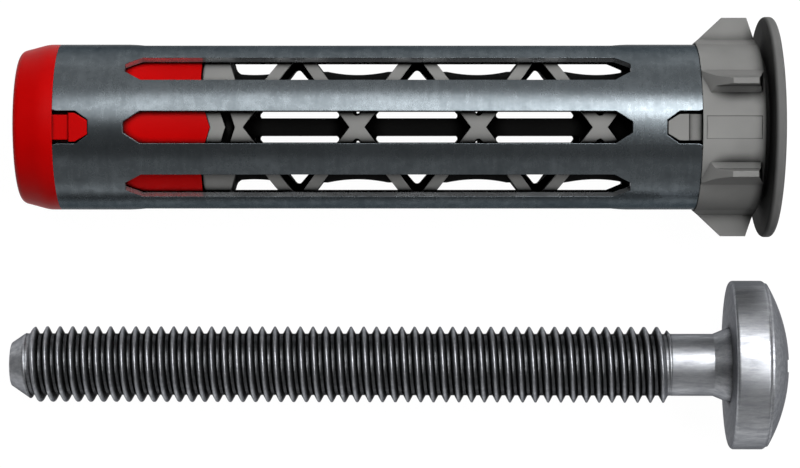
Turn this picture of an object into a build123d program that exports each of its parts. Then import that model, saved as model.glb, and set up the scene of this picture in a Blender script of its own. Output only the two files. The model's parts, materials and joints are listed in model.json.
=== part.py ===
from build123d import *

import os
from math import atan2, cos, radians, sin, sqrt, tan

# Hollow wall anchor: a slotted sheet sleeve on a moulded lattice core, with a nut held
# in an end cap, and the machine screw that draws the nut towards the flange.
# Places called "at" are measured along the anchor, from the middle of the screw's
# length, and grow towards the flange and the screw's head.

# Sleeve, rolled from steel sheet
sleeve_r = 6.4
sleeve_length = 49.0
sheet = 0.5
far_band = 5.33
near_band = 5.28
slot_count = 8
slot_width = 2.44
slot_taper = 1.25
slot_tip = 0.83
notch_depth = 2.7
notch_width = 2.48
notch_taper = 0.95
notch_tip = 1.14
notch_flare = 0.1
notch_flare_length = 0.3

# End cap, with its nut pocket
cap_face_at = -29.3
cap_front_r = 5.82
cap_lead = 2.15
cap_shoulder = 0.95
cap_plug = 11.1
cap_front_round = 0.6
cap_shoulder_round = 3.0
cap_tongue = 0.75
cap_tongue_width = 4.6
cap_head_width = 2.16
cap_neck_width = 1.88
cap_neck_length = 1.24
cap_neck_drop = 0.3

# Nut, for an M6 thread
nut_flats = 9.0
nut_length = 6.0
nut_recess = 0.3
nut_chamfer = 0.45
thread_minor_r = 2.459
thread_major_r = 2.98
thread_pitch = 1.0

# Lattice core and its guide tube
bore_r = 3.15
guide_bore_r = 3.6
guide_wall = 0.7
node_count = 4
first_node = 2.67
solid_length = 7.7
rear_solid = 3.8
waist = 1.12
arm_width = 1.05
window_top = 0.4
window_round = 0.3
opening_round = 0.3
first_foot = 2.0
ring_round = 0.35
ring_lean = 0.35
ring_root = 0.85
ring_gap = 0.35
web = 2.0
spine_width = 1.36
arch_half = 3.48
arch_rise = 0.23
arch_corner = 0.22
arch_round = 0.3
saddle_r = 9.9
saddle_dip = 0.28
peep_r = 0.2
peep_height = 1.23
groove_width = 0.75
groove_gap = 1.15
groove_reach = 1.7
groove_depth = 0.6

# Collar, fins and flange of the core
collar_r = 6.5
collar_length = 4.73
neck_r = 5.4
neck_length = 0.44
flange_r = 8.54
flange_thickness = 0.85
flange_round = 0.3
fin_tip_drop = 0.07
fin_ramp = 2.1
fin_land = 1.92
fin_back_slope = 0.46
fin_back_rise = 0.57
fin_tip = 0.43
fin_knee = 0.78
fin_knee_rise = 0.42
side_fin_across = 3.49
side_fin_foot = 0.86
top_fin_foot = 1.2
panel_length = 4.2
panel_width = 1.74
panel_sink = 0.1
tab_side_gap = 0.25
tab_end_gap = 0.1
tab_head_length = 1.54
tab_drop = 0.1
tab_neck_drop = 0.35

# Screw, M6 with a pan head
screw_length = 61.0
screw_point_r = 1.72
screw_point = 1.85
head_r = 6.6
head_rim = 2.75
head_dome = 1.85
dome_middle_r = 3.5
dome_middle_drop = 0.5
head_under_round = 0.3
head_edge_round = 0.35
shank_r = 2.43
flare_length = 1.3
shank_length = 3.3
recess_r = 3.3
recess_depth = 3.0
recess_wing = 1.05
recess_floor_r = 1.15

# Fits and the arrangement on the floor
fit_gap = 0.05
sleeve_fit = 0.1
axis_distance = 18.56
plug_roll = 2.4

# Places along the anchor
sleeve_start = cap_face_at + cap_lead + cap_shoulder
sleeve_end = sleeve_start + sleeve_length
slot_start = sleeve_start + far_band
slot_end = sleeve_end - near_band
core_start = sleeve_start + cap_plug
collar_end = sleeve_end + collar_length
flange_start = collar_end + neck_length
flange_end = flange_start + flange_thickness
cage_r = sleeve_r - sheet - sleeve_fit
guide_r = guide_bore_r + guide_wall
node_start = core_start + first_node
node_pitch = (sleeve_end - solid_length - node_start) / (node_count - 1)
nodes = [node_start + index * node_pitch for index in range(node_count)]

# Places along the screw
screw_tip = -screw_length / 2
screw_top = screw_length / 2
head_under = screw_top - head_rim - head_dome
thread_end = head_under - flare_length - shank_length
crest_start = screw_tip + screw_point


def outward(frame, angle):
    """Direction square to a piece's axis, turned about the axis by the angle."""
    return frame.x_dir * cos(radians(angle)) + frame.y_dir * sin(radians(angle))


def lying(across, low_at, low_r, high_at, high_r, roll=0.0):
    """Frame of a round piece that lies on the floor on two of its rims, Z along its axis."""
    tilt = atan2(high_r - low_r, high_at - low_at)
    height = high_r * cos(tilt) - high_at * sin(tilt)
    level = Plane(
        origin=(middle, across, height),
        x_dir=(-sin(tilt), 0, cos(tilt)),
        z_dir=(cos(tilt), 0, sin(tilt)),
    )
    return Plane(origin=level.origin, x_dir=outward(level, roll), z_dir=level.z_dir)


def turned_plane(frame, angle=0.0):
    """Plane through the axis of a piece: X along it, Y outwards at the angle."""
    normal = frame.z_dir.cross(outward(frame, angle))
    return Plane(origin=frame.origin, x_dir=frame.z_dir, z_dir=normal)


def side_plane(frame, angle, height=0.0):
    """Plane that faces outwards at the angle: X along the piece, its height off the axis."""
    face = Plane(origin=frame.origin, x_dir=frame.z_dir, z_dir=outward(frame, angle))
    return face.offset(height)


screw_lift = atan2(head_r - thread_major_r, head_under - crest_start)
middle = screw_point_r * sin(screw_lift) / 2
plug_across = (axis_distance - flange_r + head_r) / 2
plug = lying(
    plug_across,
    cap_face_at + cap_lead, sleeve_r,
    flange_start + flange_thickness / 2, flange_r,
    plug_roll,
)
screw_frame = lying(
    plug_across - axis_distance,
    crest_start, thread_major_r,
    head_under + head_under_round, head_r,
)
plug_axis = Axis(plug.origin, plug.z_dir)
screw_axis = Axis(screw_frame.origin, screw_frame.z_dir)
front_and_back = (0, 180)


def ring_profile(inner_r, outer_r, start, end):
    """Rectangle that turns into a tube between two places along the piece."""
    with Locations(((start + end) / 2, (inner_r + outer_r) / 2)):
        Rectangle(end - start, outer_r - inner_r)


def tongue_points(root, tip, root_half, shoulder, tip_half):
    """Outline of a tab or notch that narrows over its shoulder length to a flat tip."""
    way = 1 if tip > root else -1
    corner = tip - way * shoulder
    return [
        (root, -root_half), (corner, -root_half), (tip, -tip_half),
        (tip, tip_half), (corner, root_half), (root, root_half),
    ]


def round_corner(at, radius):
    """Rounds the corner of the sketch in hand that lies nearest a point."""
    fillet(vertices().sort_by_distance(at)[0], radius)


# Sleeve: lengthwise slots all round, and a notch at each end, front and back
slot_angles = [360 / slot_count * index for index in range(slot_count)]
slot_half = slot_width / 2
notch_half = notch_width / 2
with BuildPart() as sleeve:
    with BuildSketch(turned_plane(plug, 180)):
        ring_profile(sleeve_r - sheet, sleeve_r, sleeve_start, sleeve_end)
    revolve(axis=plug_axis)
    with BuildSketch(*[side_plane(plug, angle) for angle in slot_angles]):
        with BuildLine():
            Polyline(
                (slot_start, slot_tip / 2), (slot_start + slot_taper, slot_half),
                (slot_end - slot_taper, slot_half), (slot_end, slot_tip / 2),
                (slot_end, -slot_tip / 2), (slot_end - slot_taper, -slot_half),
                (slot_start + slot_taper, -slot_half), (slot_start, -slot_tip / 2),
                close=True,
            )
        make_face()
    extrude(amount=2 * sleeve_r, mode=Mode.SUBTRACT)
    for mouth, way in ((sleeve_start, 1), (sleeve_end, -1)):
        with BuildSketch(*[side_plane(plug, angle) for angle in front_and_back]):
            with BuildLine():
                Polyline(
                    *tongue_points(
                        mouth - way, mouth + way * notch_depth, notch_half,
                        notch_taper, notch_tip / 2,
                    ),
                    close=True,
                )
            make_face()
            with BuildLine():
                Polyline(
                    (mouth - way, notch_half + notch_flare),
                    (mouth, notch_half + notch_flare),
                    (mouth + way * notch_flare_length, notch_half),
                    (mouth + way * notch_flare_length, -notch_half),
                    (mouth, -notch_half - notch_flare),
                    (mouth - way, -notch_half - notch_flare),
                    close=True,
                )
            make_face()
        extrude(amount=2 * sleeve_r, mode=Mode.SUBTRACT)
sleeve.part.label = "sleeve"

# Nut: hexagon with chamfered corners and a hole of the thread's minor radius
nut_start = cap_face_at + nut_recess
nut_end = nut_start + nut_length
nut_corner_r = nut_flats / sqrt(3)
hole_mouth = thread_major_r - thread_minor_r
with BuildPart() as nut:
    with BuildSketch(plug.offset(nut_start)):
        RegularPolygon(radius=nut_flats / 2, side_count=6, major_radius=False)
    extrude(amount=nut_length)
    with BuildSketch(turned_plane(plug, 180)):
        with BuildLine():
            Polyline(
                (nut_start, thread_major_r),
                (nut_start, nut_corner_r - nut_chamfer),
                (nut_start + nut_chamfer * tan(radians(30)), nut_corner_r),
                (nut_end - nut_chamfer * tan(radians(30)), nut_corner_r),
                (nut_end, nut_corner_r - nut_chamfer),
                (nut_end, thread_major_r),
                (nut_end - hole_mouth, thread_minor_r),
                (nut_start + hole_mouth, thread_minor_r),
                close=True,
            )
        make_face()
    revolve(axis=plug_axis, mode=Mode.INTERSECT)
nut.part.label = "nut"

# End cap: a lead-in nose outside the sleeve and a long plug inside it
cap_head_start = sleeve_start + cap_neck_length
with BuildPart() as end_cap:
    with BuildSketch(turned_plane(plug, 180)):
        with BuildLine():
            Polyline(
                (cap_face_at, guide_bore_r), (cap_face_at, cap_front_r),
                (cap_face_at + cap_lead, sleeve_r), (sleeve_start, sleeve_r),
                (sleeve_start, cage_r), (core_start, cage_r),
                (core_start, guide_bore_r),
                close=True,
            )
        make_face()
        round_corner((cap_face_at, cap_front_r), cap_front_round)
        round_corner((cap_face_at + cap_lead, sleeve_r), cap_shoulder_round)
    revolve(axis=plug_axis)
    with BuildSketch(plug.offset(cap_face_at)):
        RegularPolygon(radius=nut_flats / 2 + fit_gap, side_count=6, major_radius=False)
    extrude(amount=nut_recess + nut_length, mode=Mode.SUBTRACT)
    # Tongues that reach into the core's end, front and back
    with BuildSketch(*[side_plane(plug, angle, guide_r) for angle in front_and_back]):
        with BuildLine():
            Polyline(
                (core_start, -cap_tongue_width / 2), (core_start + cap_tongue, 0),
                (core_start, cap_tongue_width / 2), (core_start - cap_tongue, 0),
                close=True,
            )
        make_face()
    extrude(amount=cage_r)
    with BuildSketch(turned_plane(plug, 180)):
        ring_profile(0.0, cage_r, core_start - cap_tongue, core_start + 2 * cap_tongue)
        ring_profile(0.0, 2 * sleeve_r, cap_face_at, core_start - cap_tongue)
    revolve(axis=plug_axis, mode=Mode.INTERSECT)
    # Tabs that key the cap in the sleeve's notches
    with BuildSketch(*[side_plane(plug, angle, cage_r - sheet) for angle in front_and_back]):
        with BuildLine():
            Polyline(
                *tongue_points(
                    sleeve_start - cap_shoulder / 2, sleeve_start + notch_depth - fit_gap,
                    cap_neck_width / 2, notch_taper, notch_tip / 2 - fit_gap,
                ),
                close=True,
            )
        make_face()
    extrude(amount=2 * sheet + sleeve_fit - cap_neck_drop)
    with BuildSketch(*[side_plane(plug, angle, cage_r - sheet) for angle in front_and_back]):
        with BuildLine():
            Polyline(
                *tongue_points(
                    cap_head_start, sleeve_start + notch_depth - fit_gap,
                    cap_head_width / 2, notch_taper, notch_tip / 2 - fit_gap,
                ),
                close=True,
            )
        make_face()
    extrude(amount=2 * sheet + sleeve_fit - tab_drop)
end_cap.part.label = "end_cap"

# Fins of the collar: one at the top, and one to the side whose faces stay parallel to the
# front, as the mould draws it. Each has a ramp, a narrow land and a short back.
fin_r = flange_r - fin_tip_drop
fin_land_start = sleeve_end + fin_ramp
fin_land_end = fin_land_start + fin_land
fin_end = fin_land_end + fin_back_slope


def surface_height(radius, across):
    """Height of a round surface over the middle plane, at a distance across it."""
    return sqrt(radius**2 - across**2)


fins = []
for across, foot in ((0.0, top_fin_foot), (side_fin_across, side_fin_foot)):
    fin_top = surface_height(fin_r, across)
    fin_floor = surface_height(neck_r, across)
    inner_foot = surface_height(collar_r, across - foot)
    outer_foot = surface_height(collar_r, across + foot)
    ramp_foot = surface_height(collar_r, across + fin_knee / 2)
    with BuildPart() as fin:
        with BuildSketch(plug.offset(sleeve_end)):
            with BuildLine():
                Polyline(
                    (fin_floor, across - foot), (inner_foot, across - foot),
                    (inner_foot + fin_knee_rise, across - fin_knee / 2),
                    (fin_top, across - fin_tip / 2), (fin_top, across + fin_tip / 2),
                    (inner_foot + fin_knee_rise, across + fin_knee / 2),
                    (outer_foot, across + foot), (fin_floor, across + foot),
                    close=True,
                )
            make_face()
        extrude(amount=collar_length)
        with BuildSketch(turned_plane(plug)):
            with BuildLine():
                Polyline(
                    (sleeve_end, 0), (sleeve_end, ramp_foot),
                    (fin_land_start, fin_top), (fin_land_end, fin_top),
                    (fin_end, ramp_foot + fin_back_rise), (collar_end, ramp_foot),
                    (collar_end, 0),
                    close=True,
                )
            make_face()
        extrude(amount=2 * collar_r, both=True, mode=Mode.INTERSECT)
    fins.append(fin.part)
top_fin, side_fin = fins

# Core: cage of crossing arms on a guide tube, then the collar, fins and flange
window_half = node_pitch / 2 - waist / 2
window_high = cage_r - window_top
arm_slope = window_half / window_high
opening_low = (arm_width - waist / 2) / arm_slope
rear_start = sleeve_end - rear_solid
beyond = 2 * sleeve_r
opening_top = cage_r + sheet
core_tab_half = notch_half - tab_side_gap
ring_end = nodes[0] - ring_gap


def opening_points(node, way):
    """Corners of the opening above or below a crossing. The ring cuts the first one short."""
    reach = arm_slope * (opening_top - opening_low)
    if node == nodes[0]:
        ring_foot = ring_end + ring_lean * (guide_r - first_foot)
        ring_top = ring_end + ring_lean * (guide_r - opening_top)
        arm_foot = node + arm_slope * (first_foot - opening_low)
        return [
            (ring_foot, way * first_foot), (arm_foot, way * first_foot),
            (node + reach, way * opening_top), (ring_top, way * opening_top),
        ]
    return [
        (node, way * opening_low),
        (node + reach, way * opening_top), (node - reach, way * opening_top),
    ]


with BuildPart() as core:
    with BuildSketch(turned_plane(plug, 180)):
        ring_profile(guide_bore_r + guide_wall / 2, cage_r, core_start, sleeve_end)
        round_corner((core_start, cage_r), ring_round)
    revolve(axis=plug_axis)
    # Diamond windows between the crossings, cut from the front and the back
    with BuildSketch(*[side_plane(plug, angle, web / 2) for angle in front_and_back]):
        for node in nodes[:-1]:
            centre = node + node_pitch / 2
            with BuildLine():
                Polyline(
                    (centre - window_half, 0), (centre, window_high),
                    (centre + window_half, 0), (centre, -window_high),
                    close=True,
                )
            make_face()
            round_corner((centre, window_high), window_round)
            round_corner((centre, -window_high), window_round)
        last = nodes[-1] + waist / 2
        last_high = (rear_start - last) / arm_slope
        with BuildLine():
            Polyline((last, 0), (rear_start, last_high), (rear_start, -last_high), close=True)
        make_face()
    extrude(amount=cage_r, mode=Mode.SUBTRACT)
    # Openings above and below each crossing, through the whole cage
    with BuildSketch(side_plane(plug, 0, -beyond)):
        for node in nodes:
            for way in (1, -1):
                with BuildLine():
                    Polyline(*opening_points(node, way), close=True)
                make_face()
                if node != nodes[0]:
                    round_corner((node, way * opening_low), opening_round)
    extrude(amount=2 * beyond, mode=Mode.SUBTRACT)
    # Guide tube, solid rear tube, collar, neck and flange, with the screw's way through
    with BuildSketch(turned_plane(plug, 180)):
        ring_profile(guide_bore_r, guide_r, core_start, rear_start)
        ring_profile(bore_r, cage_r, rear_start, sleeve_end)
        ring_profile(bore_r, collar_r, sleeve_end, collar_end)
        ring_profile(bore_r, neck_r, collar_end, flange_start)
        with BuildLine():
            Polyline(
                (flange_start, bore_r), (flange_start, flange_r),
                (flange_end, flange_r), (flange_end, bore_r),
                close=True,
            )
        make_face()
        round_corner((flange_start, flange_r), flange_round)
        round_corner((flange_end, flange_r), flange_round)
    revolve(axis=plug_axis)
    # Arched windows through the guide tube, above and below a spine
    with BuildSketch(side_plane(plug, 0, -beyond)):
        for node in nodes[:-1]:
            centre = node + node_pitch / 2
            for way in (1, -1):
                with BuildLine():
                    Polyline(
                        (centre - arch_half, way * spine_width / 2),
                        (centre, way * (guide_r + arch_rise)),
                        (centre + arch_half, way * spine_width / 2),
                        close=True,
                    )
                make_face()
                round_corner((centre, way * (guide_r + arch_rise)), arch_round)
                round_corner((centre - arch_half, way * spine_width / 2), arch_corner)
                round_corner((centre + arch_half, way * spine_width / 2), arch_corner)
        # Small peep holes at the crossings
        for node in nodes[1:]:
            with Locations((node, peep_height), (node, -peep_height)):
                Circle(peep_r)
    extrude(amount=2 * beyond, mode=Mode.SUBTRACT)
    # Saddles that dip the top of the guide tube inside each opening
    for node in nodes:
        saddle_at = max(node, ring_end + arm_slope * guide_r / 2)
        for way in (1, -1):
            with BuildSketch(side_plane(plug, 0, -beyond)):
                with BuildLine():
                    Polyline(*opening_points(node, way), close=True)
                make_face()
                with Locations((saddle_at, way * (guide_r - saddle_dip + saddle_r))):
                    Circle(saddle_r, mode=Mode.INTERSECT)
            extrude(amount=2 * beyond, mode=Mode.SUBTRACT)
    # Rounded root between the ring and the guide tube
    root_r = guide_r - saddle_dip
    with BuildSketch(turned_plane(plug, 180)):
        with BuildLine():
            Polyline(
                (ring_end, root_r + ring_root), (ring_end - ring_root, root_r + ring_root),
                (ring_end - ring_root, guide_bore_r), (ring_end + ring_root, guide_bore_r),
                (ring_end + ring_root, root_r),
            )
            CenterArc((ring_end + ring_root, root_r + ring_root), ring_root, 180, 90)
        make_face()
    revolve(axis=plug_axis)
    # Seats of the cap's tongues, and the chevron grooves behind the ring
    with BuildSketch(*[side_plane(plug, angle, guide_r) for angle in front_and_back]):
        with BuildLine():
            Polyline(
                (core_start - fit_gap, -cap_tongue_width / 2 - fit_gap),
                (core_start + fit_gap, -cap_tongue_width / 2 - fit_gap),
                (core_start + cap_tongue + fit_gap, 0),
                (core_start + fit_gap, cap_tongue_width / 2 + fit_gap),
                (core_start - fit_gap, cap_tongue_width / 2 + fit_gap),
                close=True,
            )
        make_face()
    extrude(amount=cage_r, mode=Mode.SUBTRACT)
    groove_floor = cage_r - groove_depth
    with BuildSketch(*[side_plane(plug, angle, groove_floor) for angle in front_and_back]):
        lean = cap_tongue / (cap_tongue_width / 2)
        groove_start = core_start + cap_tongue + groove_gap
        with BuildLine():
            Polyline(
                (groove_start, 0), (groove_start - lean * groove_reach, groove_reach),
                (groove_start - lean * groove_reach + groove_width, groove_reach),
                (groove_start + groove_width, 0),
                (groove_start - lean * groove_reach + groove_width, -groove_reach),
                (groove_start - lean * groove_reach, -groove_reach),
                close=True,
            )
        make_face()
    extrude(amount=cage_r, mode=Mode.SUBTRACT)
    # Tabs that key the core in the sleeve's notches
    tab_tip = sleeve_end - notch_depth + tab_end_gap
    for root, lift in (
        (tab_tip + tab_head_length, 2 * sheet + sleeve_fit - tab_drop),
        (sleeve_end + sheet, 2 * sheet + sleeve_fit - tab_neck_drop),
    ):
        with BuildSketch(
            *[side_plane(plug, angle, cage_r - sheet) for angle in front_and_back]
        ):
            with BuildLine():
                Polyline(
                    *tongue_points(
                        root, tab_tip, core_tab_half, notch_taper - tab_end_gap,
                        notch_tip / 2 - tab_end_gap,
                    ),
                    close=True,
                )
            make_face()
        extrude(amount=lift)
    for angle in front_and_back:
        add(top_fin.rotate(plug_axis, angle + 90))
        add(side_fin.rotate(plug_axis, angle))
        add(side_fin.mirror(turned_plane(plug)).rotate(plug_axis, angle))
    # Bare panel sunk in the front of the collar
    with BuildSketch(side_plane(plug, 0, collar_r - panel_sink)):
        with Locations(((sleeve_end + collar_end) / 2, 0)):
            Rectangle(panel_length, panel_width)
    extrude(amount=sheet, mode=Mode.SUBTRACT)
core.part.label = "core"

# Screw: threaded shank as a plain cylinder, a smooth neck, a flare and the pan head
with BuildPart() as screw:
    with BuildSketch(turned_plane(screw_frame, 180)):
        with BuildLine():
            Polyline(
                (screw_top, 0), (screw_tip, 0), (screw_tip, screw_point_r),
                (crest_start, thread_major_r), (thread_end, thread_major_r),
                (thread_end + thread_pitch / 2, shank_r),
                (head_under - flare_length, shank_r),
                (head_under, thread_major_r),
                (head_under, head_r - head_under_round),
                (head_under + head_under_round, head_r),
                (head_under + head_rim, head_r),
            )
            ThreePointArc(
                (head_under + head_rim, head_r),
                (screw_top - dome_middle_drop, dome_middle_r),
                (screw_top, 0),
            )
        make_face()
        round_corner((head_under + head_rim, head_r), head_edge_round)
    revolve(axis=screw_axis)
    # Cross recess: two crossing wings that narrow downwards
    for angle in (0, 90):
        with BuildSketch(turned_plane(screw_frame, angle)):
            with BuildLine():
                Polyline(
                    (screw_top, recess_r), (screw_top + head_dome, recess_r),
                    (screw_top + head_dome, -recess_r), (screw_top, -recess_r),
                    (screw_top - recess_depth, -recess_floor_r),
                    (screw_top - recess_depth, recess_floor_r),
                    close=True,
                )
            make_face()
        extrude(amount=recess_wing / 2, both=True, mode=Mode.SUBTRACT)
screw.part.label = "screw"

os.makedirs("parts", exist_ok=True)
for piece in (sleeve, end_cap, nut, core, screw):
    export_step(piece.part, f"parts/{piece.part.label}.step")
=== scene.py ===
import json
import math

import bmesh
import bpy
import numpy as np
from mathutils import Matrix, Vector


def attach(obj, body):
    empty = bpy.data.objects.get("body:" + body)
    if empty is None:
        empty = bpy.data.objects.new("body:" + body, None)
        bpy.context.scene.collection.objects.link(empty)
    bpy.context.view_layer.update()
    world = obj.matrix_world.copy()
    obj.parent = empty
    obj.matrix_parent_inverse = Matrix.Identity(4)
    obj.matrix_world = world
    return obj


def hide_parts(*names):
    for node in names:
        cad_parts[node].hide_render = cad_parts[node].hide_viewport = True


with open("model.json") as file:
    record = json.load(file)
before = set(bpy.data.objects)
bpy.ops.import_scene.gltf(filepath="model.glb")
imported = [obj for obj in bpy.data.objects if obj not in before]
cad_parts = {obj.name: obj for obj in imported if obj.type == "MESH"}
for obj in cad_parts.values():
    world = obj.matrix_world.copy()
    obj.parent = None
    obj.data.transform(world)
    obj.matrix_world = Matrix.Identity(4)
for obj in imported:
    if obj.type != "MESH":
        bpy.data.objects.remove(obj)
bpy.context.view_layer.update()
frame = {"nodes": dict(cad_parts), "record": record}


# Sleeve.
# The anchor's outer tube, rolled from zinc-plated steel sheet and stamped with lengthwise
# slots and end notches. The plating is a mottled bluish grey, and cut edges are brighter.
MM = 0.001
WHITE = (1.0, 1.0, 1.0)
ZINC_TINT = (0.24, 0.25, 0.26, 1.0)
ZINC_RANGE = (0.36, 0.64)
ZINC_TONES = [
    (0.36, (0.082, 0.095, 0.104)),
    (0.50, (0.112, 0.128, 0.139)),
    (0.64, (0.150, 0.170, 0.184)),
]
ZINC_ROUGHNESS = (0.30, 0.25)
BARE_TONES = [(0.3, (0.42, 0.44, 0.46)), (0.7, (0.60, 0.62, 0.64))]
CUT_EDGE_R = (6.34 * MM, 6.37 * MM)
INNER_WALL_R = (5.90 * MM, 5.94 * MM)
INNER_WALL_PAINTED_SHADE = (0.03, 0.03, 0.03)


def axis_of(mount_name):
    """Middle, direction and length of a round mount, with the direction towards +X."""
    mount = next(m for m in frame["record"]["mounts"] if m["name"] == mount_name)
    way = np.array(mount["axis"], float)
    way = way / np.linalg.norm(way) * np.sign(way[0])
    return np.array(mount["pos_m"], float), way, mount["dims"]["length_mm"] * MM


# The plug lies on its cap's shoulder and its flange, so its axis slopes up to the right
way_middle, plug_way, way_length = axis_of("screw_way")
flange_face = way_middle + plug_way * way_length / 2


def square_to(way):
    """Two directions square to an axis and to each other: up, and across towards +Y."""
    up = np.cross(way, [0.0, 1.0, 0.0])
    up = up / np.linalg.norm(up) * np.sign(up[2])
    return up, np.cross(up, way)


def finish_of(name, metallic, roughness=0.5):
    """New material with a Principled shader, and what is needed to add nodes to it."""
    material = bpy.data.materials.new(name)
    material.use_nodes = True
    tree = material.node_tree
    shader = tree.nodes["Principled BSDF"]
    shader.inputs["Metallic"].default_value = metallic
    shader.inputs["Roughness"].default_value = roughness
    return material, tree, shader


def along_axis(tree, base, way):
    """Object coordinates turned and moved so that X runs along a piece's own axis."""
    up, across = square_to(way)
    turn = Matrix((way, across, up))
    coordinates = tree.nodes.new("ShaderNodeTexCoord")
    mapping = tree.nodes.new("ShaderNodeMapping")
    mapping.vector_type = "POINT"
    mapping.inputs["Rotation"].default_value = turn.to_euler()
    mapping.inputs["Location"].default_value = -(turn @ Vector(base))
    tree.links.new(coordinates.outputs["Object"], mapping.inputs["Vector"])
    return mapping.outputs["Vector"]


def stretched(tree, place, scale):
    """A pattern's coordinates, scaled along, across and upwards."""
    mapping = tree.nodes.new("ShaderNodeMapping")
    mapping.inputs["Scale"].default_value = scale
    tree.links.new(place, mapping.inputs["Vector"])
    return mapping.outputs["Vector"]


def noise(tree, place, scale, detail, rough):
    """Noise pattern of about scale features a metre."""
    node = tree.nodes.new("ShaderNodeTexNoise")
    node.inputs["Scale"].default_value = scale
    node.inputs["Detail"].default_value = detail
    node.inputs["Roughness"].default_value = rough
    tree.links.new(place, node.inputs["Vector"])
    return node.outputs["Fac"]


def combine(tree, operation, first, second):
    """Math node on two sockets, or on a socket and a number."""
    node = tree.nodes.new("ShaderNodeMath")
    node.operation = operation
    for socket, value in zip(node.inputs, (first, second)):
        if isinstance(value, (int, float)):
            socket.default_value = value
        else:
            tree.links.new(value, socket)
    return node.outputs["Value"]


zinc, tree, shader = finish_of("zinc_steel", metallic=0.9)
shader.inputs["Specular Tint"].default_value = ZINC_TINT
place = along_axis(tree, flange_face, plug_way)
# The plating's pattern is half mottle, three tenths clouds and two tenths streaks
mottle = noise(tree, place, scale=1100.0, detail=8.0, rough=0.72)
longer = stretched(tree, place, (0.7, 1.0, 1.0))
cloud = noise(tree, longer, scale=260.0, detail=4.0, rough=0.55)
shorter = stretched(tree, place, (9.0, 1.0, 1.0))
streak = noise(tree, shorter, scale=300.0, detail=3.0, rough=0.6)
worn = combine(tree, "ADD", combine(tree, "MULTIPLY", cloud, 0.3),
               combine(tree, "MULTIPLY", streak, 0.2))
plating = combine(tree, "ADD", combine(tree, "MULTIPLY", mottle, 0.5), worn)


def ramp(tree, value, stops):
    """Colour ramp through (place, colour) stops."""
    node = tree.nodes.new("ShaderNodeValToRGB")
    while len(node.color_ramp.elements) < len(stops):
        node.color_ramp.elements.new(0.5)
    for element, (stop, colour) in zip(node.color_ramp.elements, stops):
        element.position = stop
        element.color = (*colour, 1.0)
    tree.links.new(value, node.inputs["Fac"])
    return node.outputs["Color"]


def remap(tree, value, old_range, new_range):
    """Value stretched from one range to another, and held at its ends."""
    node = tree.nodes.new("ShaderNodeMapRange")
    names = ("From Min", "From Max", "To Min", "To Max")
    for name, number in zip(names, (*old_range, *new_range)):
        node.inputs[name].default_value = number
    tree.links.new(value, node.inputs["Value"])
    return node.outputs["Result"]


def radius_of(tree, place):
    """Distance from the piece's own axis: the root of across squared plus up squared."""
    split = tree.nodes.new("ShaderNodeSeparateXYZ")
    tree.links.new(place, split.inputs["Vector"])
    square = combine(
        tree, "ADD",
        combine(tree, "POWER", split.outputs["Y"], 2.0),
        combine(tree, "POWER", split.outputs["Z"], 2.0),
    )
    return combine(tree, "SQRT", square, 0.0)


def blend_colour(tree, share, first, second):
    """Colour that goes from the first to the second as the share goes from 0 to 1."""
    node = tree.nodes.new("ShaderNodeMix")
    node.data_type = "RGBA"
    tree.links.new(share, node.inputs["Factor"])
    tree.links.new(first, node.inputs["A"])
    tree.links.new(second, node.inputs["B"])
    return node.outputs["Result"]


def multiply_colour(tree, first, second):
    """Colour product of two colour sockets."""
    node = tree.nodes.new("ShaderNodeMix")
    node.data_type = "RGBA"
    node.blend_type = "MULTIPLY"
    node.inputs["Factor"].default_value = 1.0
    tree.links.new(first, node.inputs["A"])
    tree.links.new(second, node.inputs["B"])
    return node.outputs["Result"]


# The sheet's cut faces lie below its outer radius, and its inner wall is painted near black
# as shade
radius = radius_of(tree, place)
cut_edge = remap(tree, radius, CUT_EDGE_R, (1.0, 0.0))
tone = blend_colour(
    tree, cut_edge, ramp(tree, plating, ZINC_TONES), ramp(tree, mottle, BARE_TONES)
)
inner_wall_shade = remap(tree, radius, INNER_WALL_R, (0.0, 1.0))
shade = ramp(tree, inner_wall_shade, [(0.0, INNER_WALL_PAINTED_SHADE), (1.0, WHITE)])
tree.links.new(multiply_colour(tree, tone, shade), shader.inputs["Base Color"])
tree.links.new(remap(tree, plating, ZINC_RANGE, ZINC_ROUGHNESS), shader.inputs["Roughness"])


def bump(tree, shader, height, strength, depth, edge):
    """Bump on a shader from a height socket, over edges rounded by a small radius."""
    rounded = tree.nodes.new("ShaderNodeBevel")
    rounded.samples = 8
    rounded.inputs["Radius"].default_value = edge
    node = tree.nodes.new("ShaderNodeBump")
    node.inputs["Strength"].default_value = strength
    node.inputs["Distance"].default_value = depth
    tree.links.new(height, node.inputs["Height"])
    tree.links.new(rounded.outputs["Normal"], node.inputs["Normal"])
    tree.links.new(node.outputs["Normal"], shader.inputs["Normal"])


def dress(node_name, material):
    """Gives a CAD node its material."""
    for material_slot in frame["nodes"][node_name].material_slots:
        material_slot.material = material


bump(tree, shader, mottle, strength=0.18, depth=0.01 * MM, edge=0.06 * MM)
dress("sleeve", zinc)


# Core.
# One dark grey moulding: guide tube, cage of crossing arms, collar, fins and flange.
# It is snapped into the sleeve. Its outer faces are matt. Painted shade makes them fall off
# towards black inside the sleeve and darker in corners, and makes the flange darker, most
# on its back face.
BLACK = (0.0, 0.0, 0.0)
GREY_GLOSS = 0.01
GREY_TONES = [(0.35, (0.182, 0.182, 0.178)), (0.65, (0.218, 0.218, 0.212))]
CAGE_SHADE_R = (5.00 * MM, 5.76 * MM)
CAGE_SHADE_DARKEST = 0.02
FLANGE_BEGINS = (-1.50 * MM, -1.00 * MM)
RIM_BEGINS = (-0.82 * MM, -0.56 * MM)
FLANGE_SHADE_LIFT = 0.8
FLANGE_PAINTED_SHADE = (0.66, 0.66, 0.67)
BACK_FACE_PAINTED_SHADE = (0.28, 0.28, 0.28)


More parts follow.
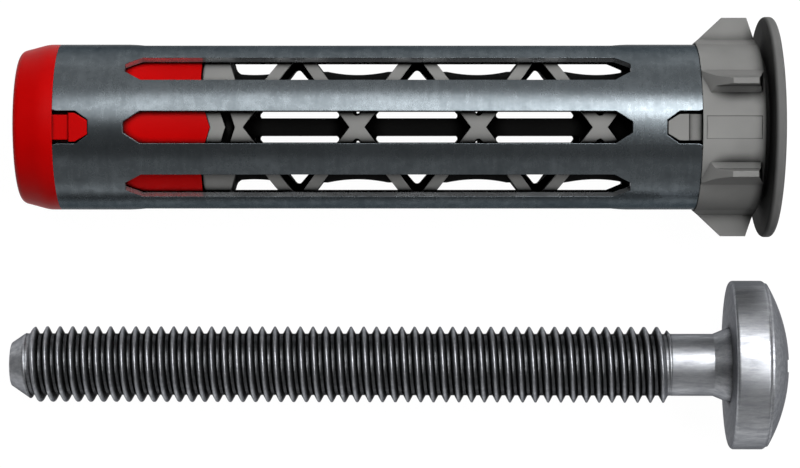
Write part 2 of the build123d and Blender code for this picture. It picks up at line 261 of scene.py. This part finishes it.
def painted_corner_shade(tree, reach, dark_to_open):
    """Painted shade, a grey from white on open faces to black in corners within the reach.
    """
    node = tree.nodes.new("ShaderNodeAmbientOcclusion")
    node.samples = 16
    node.inputs["Distance"].default_value = reach
    value = remap(tree, node.outputs["AO"], dark_to_open, (0.0, 1.0))
    return ramp(tree, value, [(0.0, BLACK), (1.0, WHITE)])


def place_along(tree, place):
    """Place along the piece's own axis."""
    split = tree.nodes.new("ShaderNodeSeparateXYZ")
    tree.links.new(place, split.inputs["Vector"])
    return split.outputs["X"]


grey, tree, shader = finish_of("grey_moulding", metallic=0.0, roughness=0.58)
shader.inputs["Specular IOR Level"].default_value = GREY_GLOSS
place = along_axis(tree, flange_face, plug_way)
cloud = noise(tree, place, scale=180.0, detail=3.0, rough=0.5)
tone = ramp(tree, cloud, GREY_TONES)
along = place_along(tree, place)
flange = remap(tree, along, FLANGE_BEGINS, (0.0, 1.0))
# Painted shade: the cage falls off towards black nearer the axis, but not on the flange
cage_depth_shade = remap(tree, radius_of(tree, place), CAGE_SHADE_R, (CAGE_SHADE_DARKEST, 1.0))
lit = combine(tree, "MAXIMUM", cage_depth_shade, flange)
# Painted shade in corners, mostly lifted on the flange
corners = combine(
    tree, "MAXIMUM", painted_corner_shade(tree, reach=1.5 * MM, dark_to_open=(0.50, 0.92)),
    combine(tree, "MULTIPLY", flange, FLANGE_SHADE_LIFT),
)
shade = ramp(tree, combine(tree, "MULTIPLY", lit, corners), [(0.0, BLACK), (1.0, WHITE)])
# Painted shade: the whole flange is darker
shade = multiply_colour(
    tree, shade, ramp(tree, flange, [(0.0, WHITE), (1.0, FLANGE_PAINTED_SHADE)])
)
# Painted shade: the flange's back face, towards the collar, is darker than its rim
back_face_shade = combine(tree, "MULTIPLY", remap(tree, along, RIM_BEGINS, (1.0, 0.0)), flange)
shade = multiply_colour(
    tree, shade, ramp(tree, back_face_shade, [(0.0, WHITE), (1.0, BACK_FACE_PAINTED_SHADE)])
)
tree.links.new(multiply_colour(tree, tone, shade), shader.inputs["Base Color"])
grain = noise(tree, place, scale=1500.0, detail=3.0, rough=0.6)
bump(tree, shader, grain, strength=0.2, depth=0.02 * MM, edge=0.09 * MM)
dress("core", grey)


# End cap.
# One red satin moulding that closes the far end and keys into the sleeve's notches.
# It shows again through the slots, where its plug runs inside the sleeve.
RED_GLOSS = 0.04
RED_TONES = [(0.35, (0.395, 0.0006, 0.0008)), (0.65, (0.450, 0.0010, 0.0012))]
red, tree, shader = finish_of("red_moulding", metallic=0.0, roughness=0.42)
shader.inputs["Specular IOR Level"].default_value = RED_GLOSS
place = along_axis(tree, flange_face, plug_way)
cloud = noise(tree, place, scale=150.0, detail=3.0, rough=0.5)
tone = ramp(tree, cloud, RED_TONES)
# Painted shade: the cap is darker in its corners and tight gaps
shade = painted_corner_shade(tree, reach=0.8 * MM, dark_to_open=(0.35, 0.80))
tree.links.new(multiply_colour(tree, tone, shade), shader.inputs["Base Color"])
grain = noise(tree, place, scale=1400.0, detail=2.0, rough=0.6)
bump(tree, shader, grain, strength=0.12, depth=0.02 * MM, edge=0.12 * MM)
dress("end_cap", red)


# Nut.
# Zinc-plated M6 hexagon nut, pressed into the end cap's pocket from outside.
# Its corners are turned off at 30 degrees, and its thread is one helical strip.
THREAD_PITCH = 1.0 * MM
# One turn of the thread's profile as (share of the pitch, share of the thread's height)
THREAD_FORM = np.array([
    (0.00, 0.00), (0.10, 0.00), (0.15, 0.06), (0.285, 0.50), (0.42, 0.94), (0.46, 1.00),
    (0.54, 1.00), (0.58, 0.94), (0.715, 0.50), (0.85, 0.06), (0.90, 0.00),
])
TURN_COLUMNS = 96
MERGE_DISTANCE = 1e-7
NUT_LENGTH = 6.0 * MM
NUT_FLATS = 9.0 * MM
NUT_CORNER_CUT = 0.45 * MM
NUT_CORNER_SLOPE = math.radians(30)
NUT_ROLL = math.radians(-2.4)
NUT_MINOR_R = 2.459 * MM
NUT_MAJOR_R = 2.98 * MM
NUT_SHARP_ANGLE = math.radians(25)
NUT_TONES = [(0.35, (0.26, 0.28, 0.30)), (0.65, (0.40, 0.42, 0.45))]
turn_share = np.arange(TURN_COLUMNS) / TURN_COLUMNS
# Columns run backwards round the axis, which makes the thread right-handed
turn_angle = -2 * math.pi * turn_share
nut_middle = axis_of("nut_thread")[0]


def turned(along, radius, angle, base, way):
    """Points of a turned surface: base + way * along + radius * (up cos + across sin)."""
    up, across = square_to(way)
    along, radius, angle = np.broadcast_arrays(along, radius, angle)
    return (
        base
        + along[..., None] * way
        + (radius * np.cos(angle))[..., None] * up
        + (radius * np.sin(angle))[..., None] * across
    )


def helical_strip(start, end):
    """Thread between two places: along = start + pitch (turn + form + share), held.

    The share is the column's share of a turn. Gives the place and the height of the
    form, 0 to 1, of each point, and the quads.
    """
    # The strip begins one and a half turns early, so that it covers both ends
    turns = int(math.ceil((end - start) / THREAD_PITCH)) + 3
    strip = len(THREAD_FORM)
    row = np.arange((turns + 1) * strip)
    raw_along = THREAD_PITCH * (
        (row // strip - 1.5 + THREAD_FORM[row % strip, 0])[:, None] + turn_share[None, :]
    )
    along = np.clip(start + raw_along, start, end)
    height = np.broadcast_to(THREAD_FORM[row % strip, 1][:, None], along.shape)
    row, column = np.meshgrid(
        np.arange(turns * strip - 1), np.arange(TURN_COLUMNS), indexing="ij"
    )
    # The last column joins the first one a turn further on
    last = column == TURN_COLUMNS - 1
    following = np.where(last, 0, column + 1)
    shift = np.where(last, strip, 0)
    quads = np.stack(
        [
            row * TURN_COLUMNS + column,
            (row + shift) * TURN_COLUMNS + following,
            (row + 1 + shift) * TURN_COLUMNS + following,
            (row + 1) * TURN_COLUMNS + column,
        ],
        axis=-1,
    ).reshape(-1, 4)
    # Quads that are held at an end have no height and are left out
    kept = np.ptp(along.reshape(-1)[quads], axis=1) > 1e-9
    return along, height, quads[kept]


def ring_quads(rows, columns):
    """Quads of a grid whose columns close round into a ring."""
    row, column = np.meshgrid(np.arange(rows - 1), np.arange(columns), indexing="ij")
    following = (column + 1) % columns
    return np.stack(
        [
            row * columns + column,
            row * columns + following,
            (row + 1) * columns + following,
            (row + 1) * columns + column,
        ],
        axis=-1,
    ).reshape(-1, 4)


def mesh_from(name, points, quads, smooth=True):
    """Mesh object of a point array and an array of quads, with its doubles merged."""
    mesh = bpy.data.meshes.new(name)
    mesh.from_pydata(points.reshape(-1, 3).tolist(), [], quads.tolist())
    work = bmesh.new()
    work.from_mesh(mesh)
    bmesh.ops.remove_doubles(work, verts=work.verts, dist=MERGE_DISTANCE)
    bmesh.ops.dissolve_degenerate(work, edges=work.edges, dist=MERGE_DISTANCE)
    bmesh.ops.recalc_face_normals(work, faces=work.faces)
    work.to_mesh(mesh)
    work.free()
    mesh.polygons.foreach_set("use_smooth", np.full(len(mesh.polygons), smooth))
    piece = bpy.data.objects.new(name, mesh)
    bpy.context.scene.collection.objects.link(piece)
    return piece


# Bore: the thread's form between the minor and major radius, with a 45 degree mouth
nut_angle = (NUT_ROLL + turn_angle)[None, :]
half = NUT_LENGTH / 2
along, height, quads = helical_strip(-half, half)
mouth_r = NUT_MAJOR_R - (half - np.abs(along))
bore_r = np.maximum(NUT_MINOR_R + (NUT_MAJOR_R - NUT_MINOR_R) * height, mouth_r)
bore_r = np.where(np.abs(along) >= half, NUT_MAJOR_R, bore_r)
bore = turned(along, bore_r, nut_angle, nut_middle, plug_way).reshape(-1, 3)
# Hexagon: radius = half the flats / cos(angle from the flat's middle), cut off by the cone
from_flat = turn_angle % (math.pi / 3) - math.pi / 6
hexagon_r = NUT_FLATS / 2 / np.cos(from_flat)
face_r = np.minimum(hexagon_r, NUT_FLATS / math.sqrt(3) - NUT_CORNER_CUT)
cut_depth = (hexagon_r - face_r) * math.tan(NUT_CORNER_SLOPE)
mouth_edge_r = np.full(TURN_COLUMNS, NUT_MAJOR_R)
face_at = np.full(TURN_COLUMNS, half)
hexagon_at = np.stack([
    -face_at, -face_at, cut_depth - half, half - cut_depth, face_at, face_at,
])
hexagon_rows_r = np.stack([
    mouth_edge_r, face_r, hexagon_r, hexagon_r, face_r, mouth_edge_r,
])
hexagon = turned(hexagon_at, hexagon_rows_r, nut_angle, nut_middle, plug_way).reshape(-1, 3)
hexagon_quads = ring_quads(len(hexagon_at), TURN_COLUMNS) + len(bore)
threaded_nut = mesh_from(
    "threaded_nut", np.concatenate([bore, hexagon]), np.concatenate([quads, hexagon_quads])
)
threaded_nut.data.set_sharp_from_angle(angle=NUT_SHARP_ANGLE)

bright, tree, shader = finish_of("nut_steel", metallic=0.9, roughness=0.28)
place = along_axis(tree, nut_middle, plug_way)
cloud = noise(tree, place, scale=400.0, detail=4.0, rough=0.6)
tree.links.new(ramp(tree, cloud, NUT_TONES), shader.inputs["Base Color"])
grain = noise(tree, place, scale=900.0, detail=4.0, rough=0.6)
bump(tree, shader, grain, strength=0.2, depth=0.01 * MM, edge=0.06 * MM)
threaded_nut.data.materials.append(bright)
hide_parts("nut")
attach(threaded_nut, "root")


# Screw thread.
# Steel thread, rolled on a shank with a blunt point: one helical strip, whose turns share
# their edges. It is cut by the point's cone and by the run-out cone before the neck.
CREST_R = 2.98 * MM
ROOT_R = 2.42 * MM
TIP_R = 1.72 * MM
TIP_LENGTH = 1.85 * MM
RUN_OUT = 0.5 * MM
STEEL_TINT = (0.08, 0.08, 0.09, 1.0)
STEEL_RANGE = (0.3, 0.7)
STEEL_TONES = [
    (0.30, (0.250, 0.260, 0.280)),
    (0.50, (0.350, 0.360, 0.382)),
    (0.70, (0.480, 0.490, 0.512)),
]
STEEL_ROUGHNESS = (0.47, 0.35)
thread_middle, screw_way, thread_length = axis_of("screw_thread")
thread_end = thread_middle + screw_way * thread_length / 2

steel, tree, shader = finish_of("screw_steel", metallic=0.9)
shader.inputs["Specular Tint"].default_value = STEEL_TINT
place = along_axis(tree, thread_end, screw_way)
drawn_out = stretched(tree, place, (0.6, 3.0, 3.0))
scratch = noise(tree, drawn_out, scale=900.0, detail=6.0, rough=0.7)
# Painted shade: the steel is darker in the thread's valleys and other corners
valley_shade = painted_corner_shade(tree, reach=0.9 * MM, dark_to_open=(0.60, 0.92))
tree.links.new(
    multiply_colour(tree, ramp(tree, scratch, STEEL_TONES), valley_shade),
    shader.inputs["Base Color"],
)
tree.links.new(
    remap(tree, scratch, STEEL_RANGE, STEEL_ROUGHNESS), shader.inputs["Roughness"]
)
bump(tree, shader, scratch, strength=0.25, depth=0.01 * MM, edge=0.04 * MM)

# Radius of the strip: the thread's form, or the point's or the run-out's cone where lower
tip_at = -thread_length - TIP_LENGTH
along, height, quads = helical_strip(tip_at, 0.0)
point_r = TIP_R + (CREST_R - TIP_R) * (along - tip_at) / TIP_LENGTH
run_out_r = ROOT_R + (CREST_R - ROOT_R) * (-along) / RUN_OUT
thread_r = np.minimum(ROOT_R + (CREST_R - ROOT_R) * height, np.minimum(point_r, run_out_r))
thread_r = np.where(along <= tip_at, TIP_R, thread_r)
thread_r = np.where(along >= 0.0, ROOT_R, thread_r)
thread = turned(along, thread_r, turn_angle[None, :], thread_end, screw_way).reshape(-1, 3)


def closing_disc(at, rim_r):
    """Flat disc that closes an end of the strip: its rim, half its radius, its middle."""
    disc_r = rim_r * np.array([[1.0], [0.5], [0.0]])
    return turned(at, disc_r, turn_angle[None, :], thread_end, screw_way).reshape(-1, 3)


disc_quads = ring_quads(3, TURN_COLUMNS)
tip_disc = closing_disc(tip_at, TIP_R)
neck_disc = closing_disc(0.0, ROOT_R)
screw_thread = mesh_from(
    "screw_thread",
    np.concatenate([thread, tip_disc, neck_disc]),
    np.concatenate([
        quads, disc_quads + len(thread), disc_quads + len(thread) + len(tip_disc),
    ]),
)
screw_thread.data.materials.append(steel)
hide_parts("screw")
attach(screw_thread, "root")


# Screw head.
# Smooth neck, flare and pan head, headed in one with the thread from the same steel, with
# a cross recess punched in the dome. Its outline is a list of (place, radius) points.
NECK_LENGTH = 3.3 * MM
NECK_STEP = 0.1 * MM
NECK_R = 2.43 * MM
FLARE_LENGTH = 1.3 * MM
HEAD_R = 6.6 * MM
HEAD_RIM = 2.75 * MM
HEAD_DOME = 1.85 * MM
UNDER_ROUND = 0.3 * MM
EDGE_ROUND = 0.35 * MM
DOME_INSET = 0.21 * MM
RECESS_R = 3.3 * MM
RECESS_DEPTH = 3.0 * MM
RECESS_FLOOR_R = 1.15 * MM
RECESS_WING = 1.05 * MM
RECESS_CLEAR = 0.5 * MM
HEAD_COLUMNS = 128
HEAD_SHARP_ANGLE = math.radians(18)
under_at = NECK_LENGTH + FLARE_LENGTH
rim_at = under_at + HEAD_RIM
top_at = rim_at + HEAD_DOME
# The dome is part of a sphere of radius (head radius squared + height squared) / 2 heights
dome_r = (HEAD_R**2 + HEAD_DOME**2) / (2 * HEAD_DOME)
dome_start = math.degrees(math.asin((HEAD_R - DOME_INSET) / dome_r))


def arc(centre_at, centre_r, size, start, end, count):
    """Arc of (place, radius) points about a centre, angles in degrees from the axis."""
    angle = np.radians(np.linspace(start, end, count))
    return np.stack(
        [centre_at + size * np.cos(angle), centre_r + size * np.sin(angle)], axis=1
    )


profile = np.concatenate([
    [(0.0, 0.0), (0.0, ROOT_R), (NECK_STEP, NECK_R), (NECK_LENGTH, NECK_R)],
    [(under_at, CREST_R)],
    arc(under_at + UNDER_ROUND, HEAD_R - UNDER_ROUND, UNDER_ROUND,
        start=180.0, end=90.0, count=9),
    arc(rim_at - EDGE_ROUND, HEAD_R - EDGE_ROUND, EDGE_ROUND,
        start=90.0, end=30.0, count=7),
    arc(top_at - dome_r, 0.0, dome_r, start=dome_start, end=0.0, count=24),
])
head_angle = 2 * math.pi * np.arange(HEAD_COLUMNS) / HEAD_COLUMNS
head = turned(profile[:, :1], profile[:, 1:], head_angle[None, :], thread_end, screw_way)
screw_head = mesh_from("screw_head", head, ring_quads(len(profile), HEAD_COLUMNS))


def recess_wing(turn):
    """Closed wedge of the recess: a flat trapezium of even thickness, narrow at its foot.

    Its corners are thread_end + way * place + side * out + thickness / 2 to either side.
    """
    slope = (RECESS_R - RECESS_FLOOR_R) / RECESS_DEPTH
    mouth_r = RECESS_R + slope * RECESS_CLEAR
    outline = np.array([
        (top_at + RECESS_CLEAR, mouth_r), (top_at + RECESS_CLEAR, -mouth_r),
        (top_at - RECESS_DEPTH, -RECESS_FLOOR_R), (top_at - RECESS_DEPTH, RECESS_FLOOR_R),
    ])
    faces_at = np.array([-RECESS_WING / 2, RECESS_WING / 2])
    up, across = square_to(screw_way)
    side = up * math.cos(turn) + across * math.sin(turn)
    thick_way = np.cross(screw_way, side)
    corners = (
        thread_end
        + outline[None, :, :1] * screw_way
        + outline[None, :, 1:] * side
        + faces_at[:, None, None] * thick_way
    )
    quads = np.array([
        (0, 1, 2, 3), (4, 7, 6, 5), (0, 4, 5, 1), (1, 5, 6, 2), (2, 6, 7, 3), (3, 7, 4, 0),
    ])
    return mesh_from("recess_wing", corners, quads, smooth=False)


for turn in (0.0, math.pi / 2):
    cutter = recess_wing(turn)
    cut = screw_head.modifiers.new("recess", "BOOLEAN")
    cut.operation = "DIFFERENCE"
    cut.solver = "EXACT"
    cut.object = cutter
    evaluated = screw_head.evaluated_get(bpy.context.evaluated_depsgraph_get())
    finished = bpy.data.meshes.new_from_object(evaluated)
    screw_head.modifiers.clear()
    screw_head.data = finished
    bpy.data.objects.remove(cutter)
screw_head.data.name = "screw_head"
screw_head.data.set_sharp_from_angle(angle=HEAD_SHARP_ANGLE)
screw_head.data.materials.clear()
screw_head.data.materials.append(steel)
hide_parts("screw")
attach(screw_head, "root")


# Floor and background.
# A pale studio floor under a pale sky. Both show white to the eye and in the metal, and
# the floor keeps a faint shadow of the object.
FLOOR_HALF = 1.5
FLOOR_TONE = (0.6, 0.6, 0.6, 1.0)
FLOOR_GLOW = 1.06
FLOOR_GLOW_SHARE = 0.93
SKY_STRENGTH = (0.13, 1.0)


def is_seen(tree):
    """1 for rays from the camera, from a mirror or through glass, and 0 for light."""
    path = tree.nodes.new("ShaderNodeLightPath")
    return combine(
        tree, "MAXIMUM", path.outputs["Is Camera Ray"],
        combine(tree, "MAXIMUM", path.outputs["Is Glossy Ray"],
                path.outputs["Is Transmission Ray"]),
    )


floor_white = bpy.data.materials.new("floor_white")
floor_white.use_nodes = True
tree = floor_white.node_tree
tree.nodes.clear()
output = tree.nodes.new("ShaderNodeOutputMaterial")
mix = tree.nodes.new("ShaderNodeMixShader")
diffuse = tree.nodes.new("ShaderNodeBsdfDiffuse")
glow = tree.nodes.new("ShaderNodeEmission")
diffuse.inputs["Color"].default_value = FLOOR_TONE
glow.inputs["Strength"].default_value = FLOOR_GLOW
tree.links.new(
    combine(tree, "MULTIPLY", is_seen(tree), FLOOR_GLOW_SHARE), mix.inputs["Fac"]
)
tree.links.new(diffuse.outputs["BSDF"], mix.inputs[1])
tree.links.new(glow.outputs["Emission"], mix.inputs[2])
tree.links.new(mix.outputs["Shader"], output.inputs["Surface"])

floor_corners = FLOOR_HALF * np.array([
    (-1.0, -1.0, 0.0), (1.0, -1.0, 0.0), (1.0, 1.0, 0.0), (-1.0, 1.0, 0.0),
])
floor = mesh_from("floor", floor_corners, np.array([(0, 1, 2, 3)]), smooth=False)
floor.data.materials.append(floor_white)

sky = bpy.data.worlds.new("studio")
bpy.context.scene.world = sky
sky.use_nodes = True
tree = sky.node_tree
tree.links.new(
    remap(tree, is_seen(tree), (0.0, 1.0), SKY_STRENGTH),
    tree.nodes["Background"].inputs["Strength"],
)


# Lamps.
# Soft boxes: a narrow one and a wide one overhead, a low one beyond each long side, and a
# small one over the left end. They leave the soft bright band along the sleeve.
def soft_box(name, place, size, power):
    """Area lamp at a place, turned to face the object."""
    lamp = bpy.data.lights.new(name, "AREA")
    lamp.shape = "RECTANGLE"
    lamp.size, lamp.size_y = size
    lamp.energy = power
    holder = bpy.data.objects.new(name, lamp)
    holder.location = place
    holder.rotation_euler = (-Vector(place)).to_track_quat("-Z", "Y").to_euler()
    bpy.context.scene.collection.objects.link(holder)


soft_box("key", place=(0.08, 0.032, 0.25), size=(0.26, 0.05), power=0.43)
soft_box("wide", place=(0.07, 0.115, 0.25), size=(0.32, 0.11), power=0.50)
soft_box("side", place=(0.02, 0.33, 0.13), size=(0.50, 0.26), power=0.24)
soft_box("fill", place=(-0.03, -0.30, 0.13), size=(0.50, 0.28), power=0.16)
soft_box("left", place=(-0.09, 0.09, 0.25), size=(0.10, 0.10), power=0.08)


# Camera.
# It looks square to the anchor's axis from the photograph's distance, and is moved along
# and across the axis until the flange and the anchor lie where the photograph has them.
FOCAL_PIXELS = 2554.0
IMAGE_WIDTH = 800.0
SENSOR_WIDTH = 36.0
CAMERA_DISTANCE = 198.4 * MM
ANCHOR_ROW = 127.2
CENTRE_ROW = 234.0
FLANGE_TO_CENTRE = 28.82 * MM
CLIP_START = 0.001
up, across = square_to(plug_way)
rows_across = (CENTRE_ROW - ANCHOR_ROW) * CAMERA_DISTANCE / FOCAL_PIXELS
aim = flange_face - plug_way * FLANGE_TO_CENTRE - across * rows_across
lens = bpy.data.cameras.new("camera")
lens.sensor_width = SENSOR_WIDTH
lens.lens = FOCAL_PIXELS * SENSOR_WIDTH / IMAGE_WIDTH
lens.clip_start = CLIP_START
camera = bpy.data.objects.new("camera", lens)
turn = Matrix((plug_way, across, up)).transposed().to_4x4()
camera.matrix_world = Matrix.Translation(Vector(aim + up * CAMERA_DISTANCE)) @ turn
bpy.context.scene.collection.objects.link(camera)
bpy.context.scene.camera = camera
bpy.context.scene.view_settings.view_transform = "Standard"
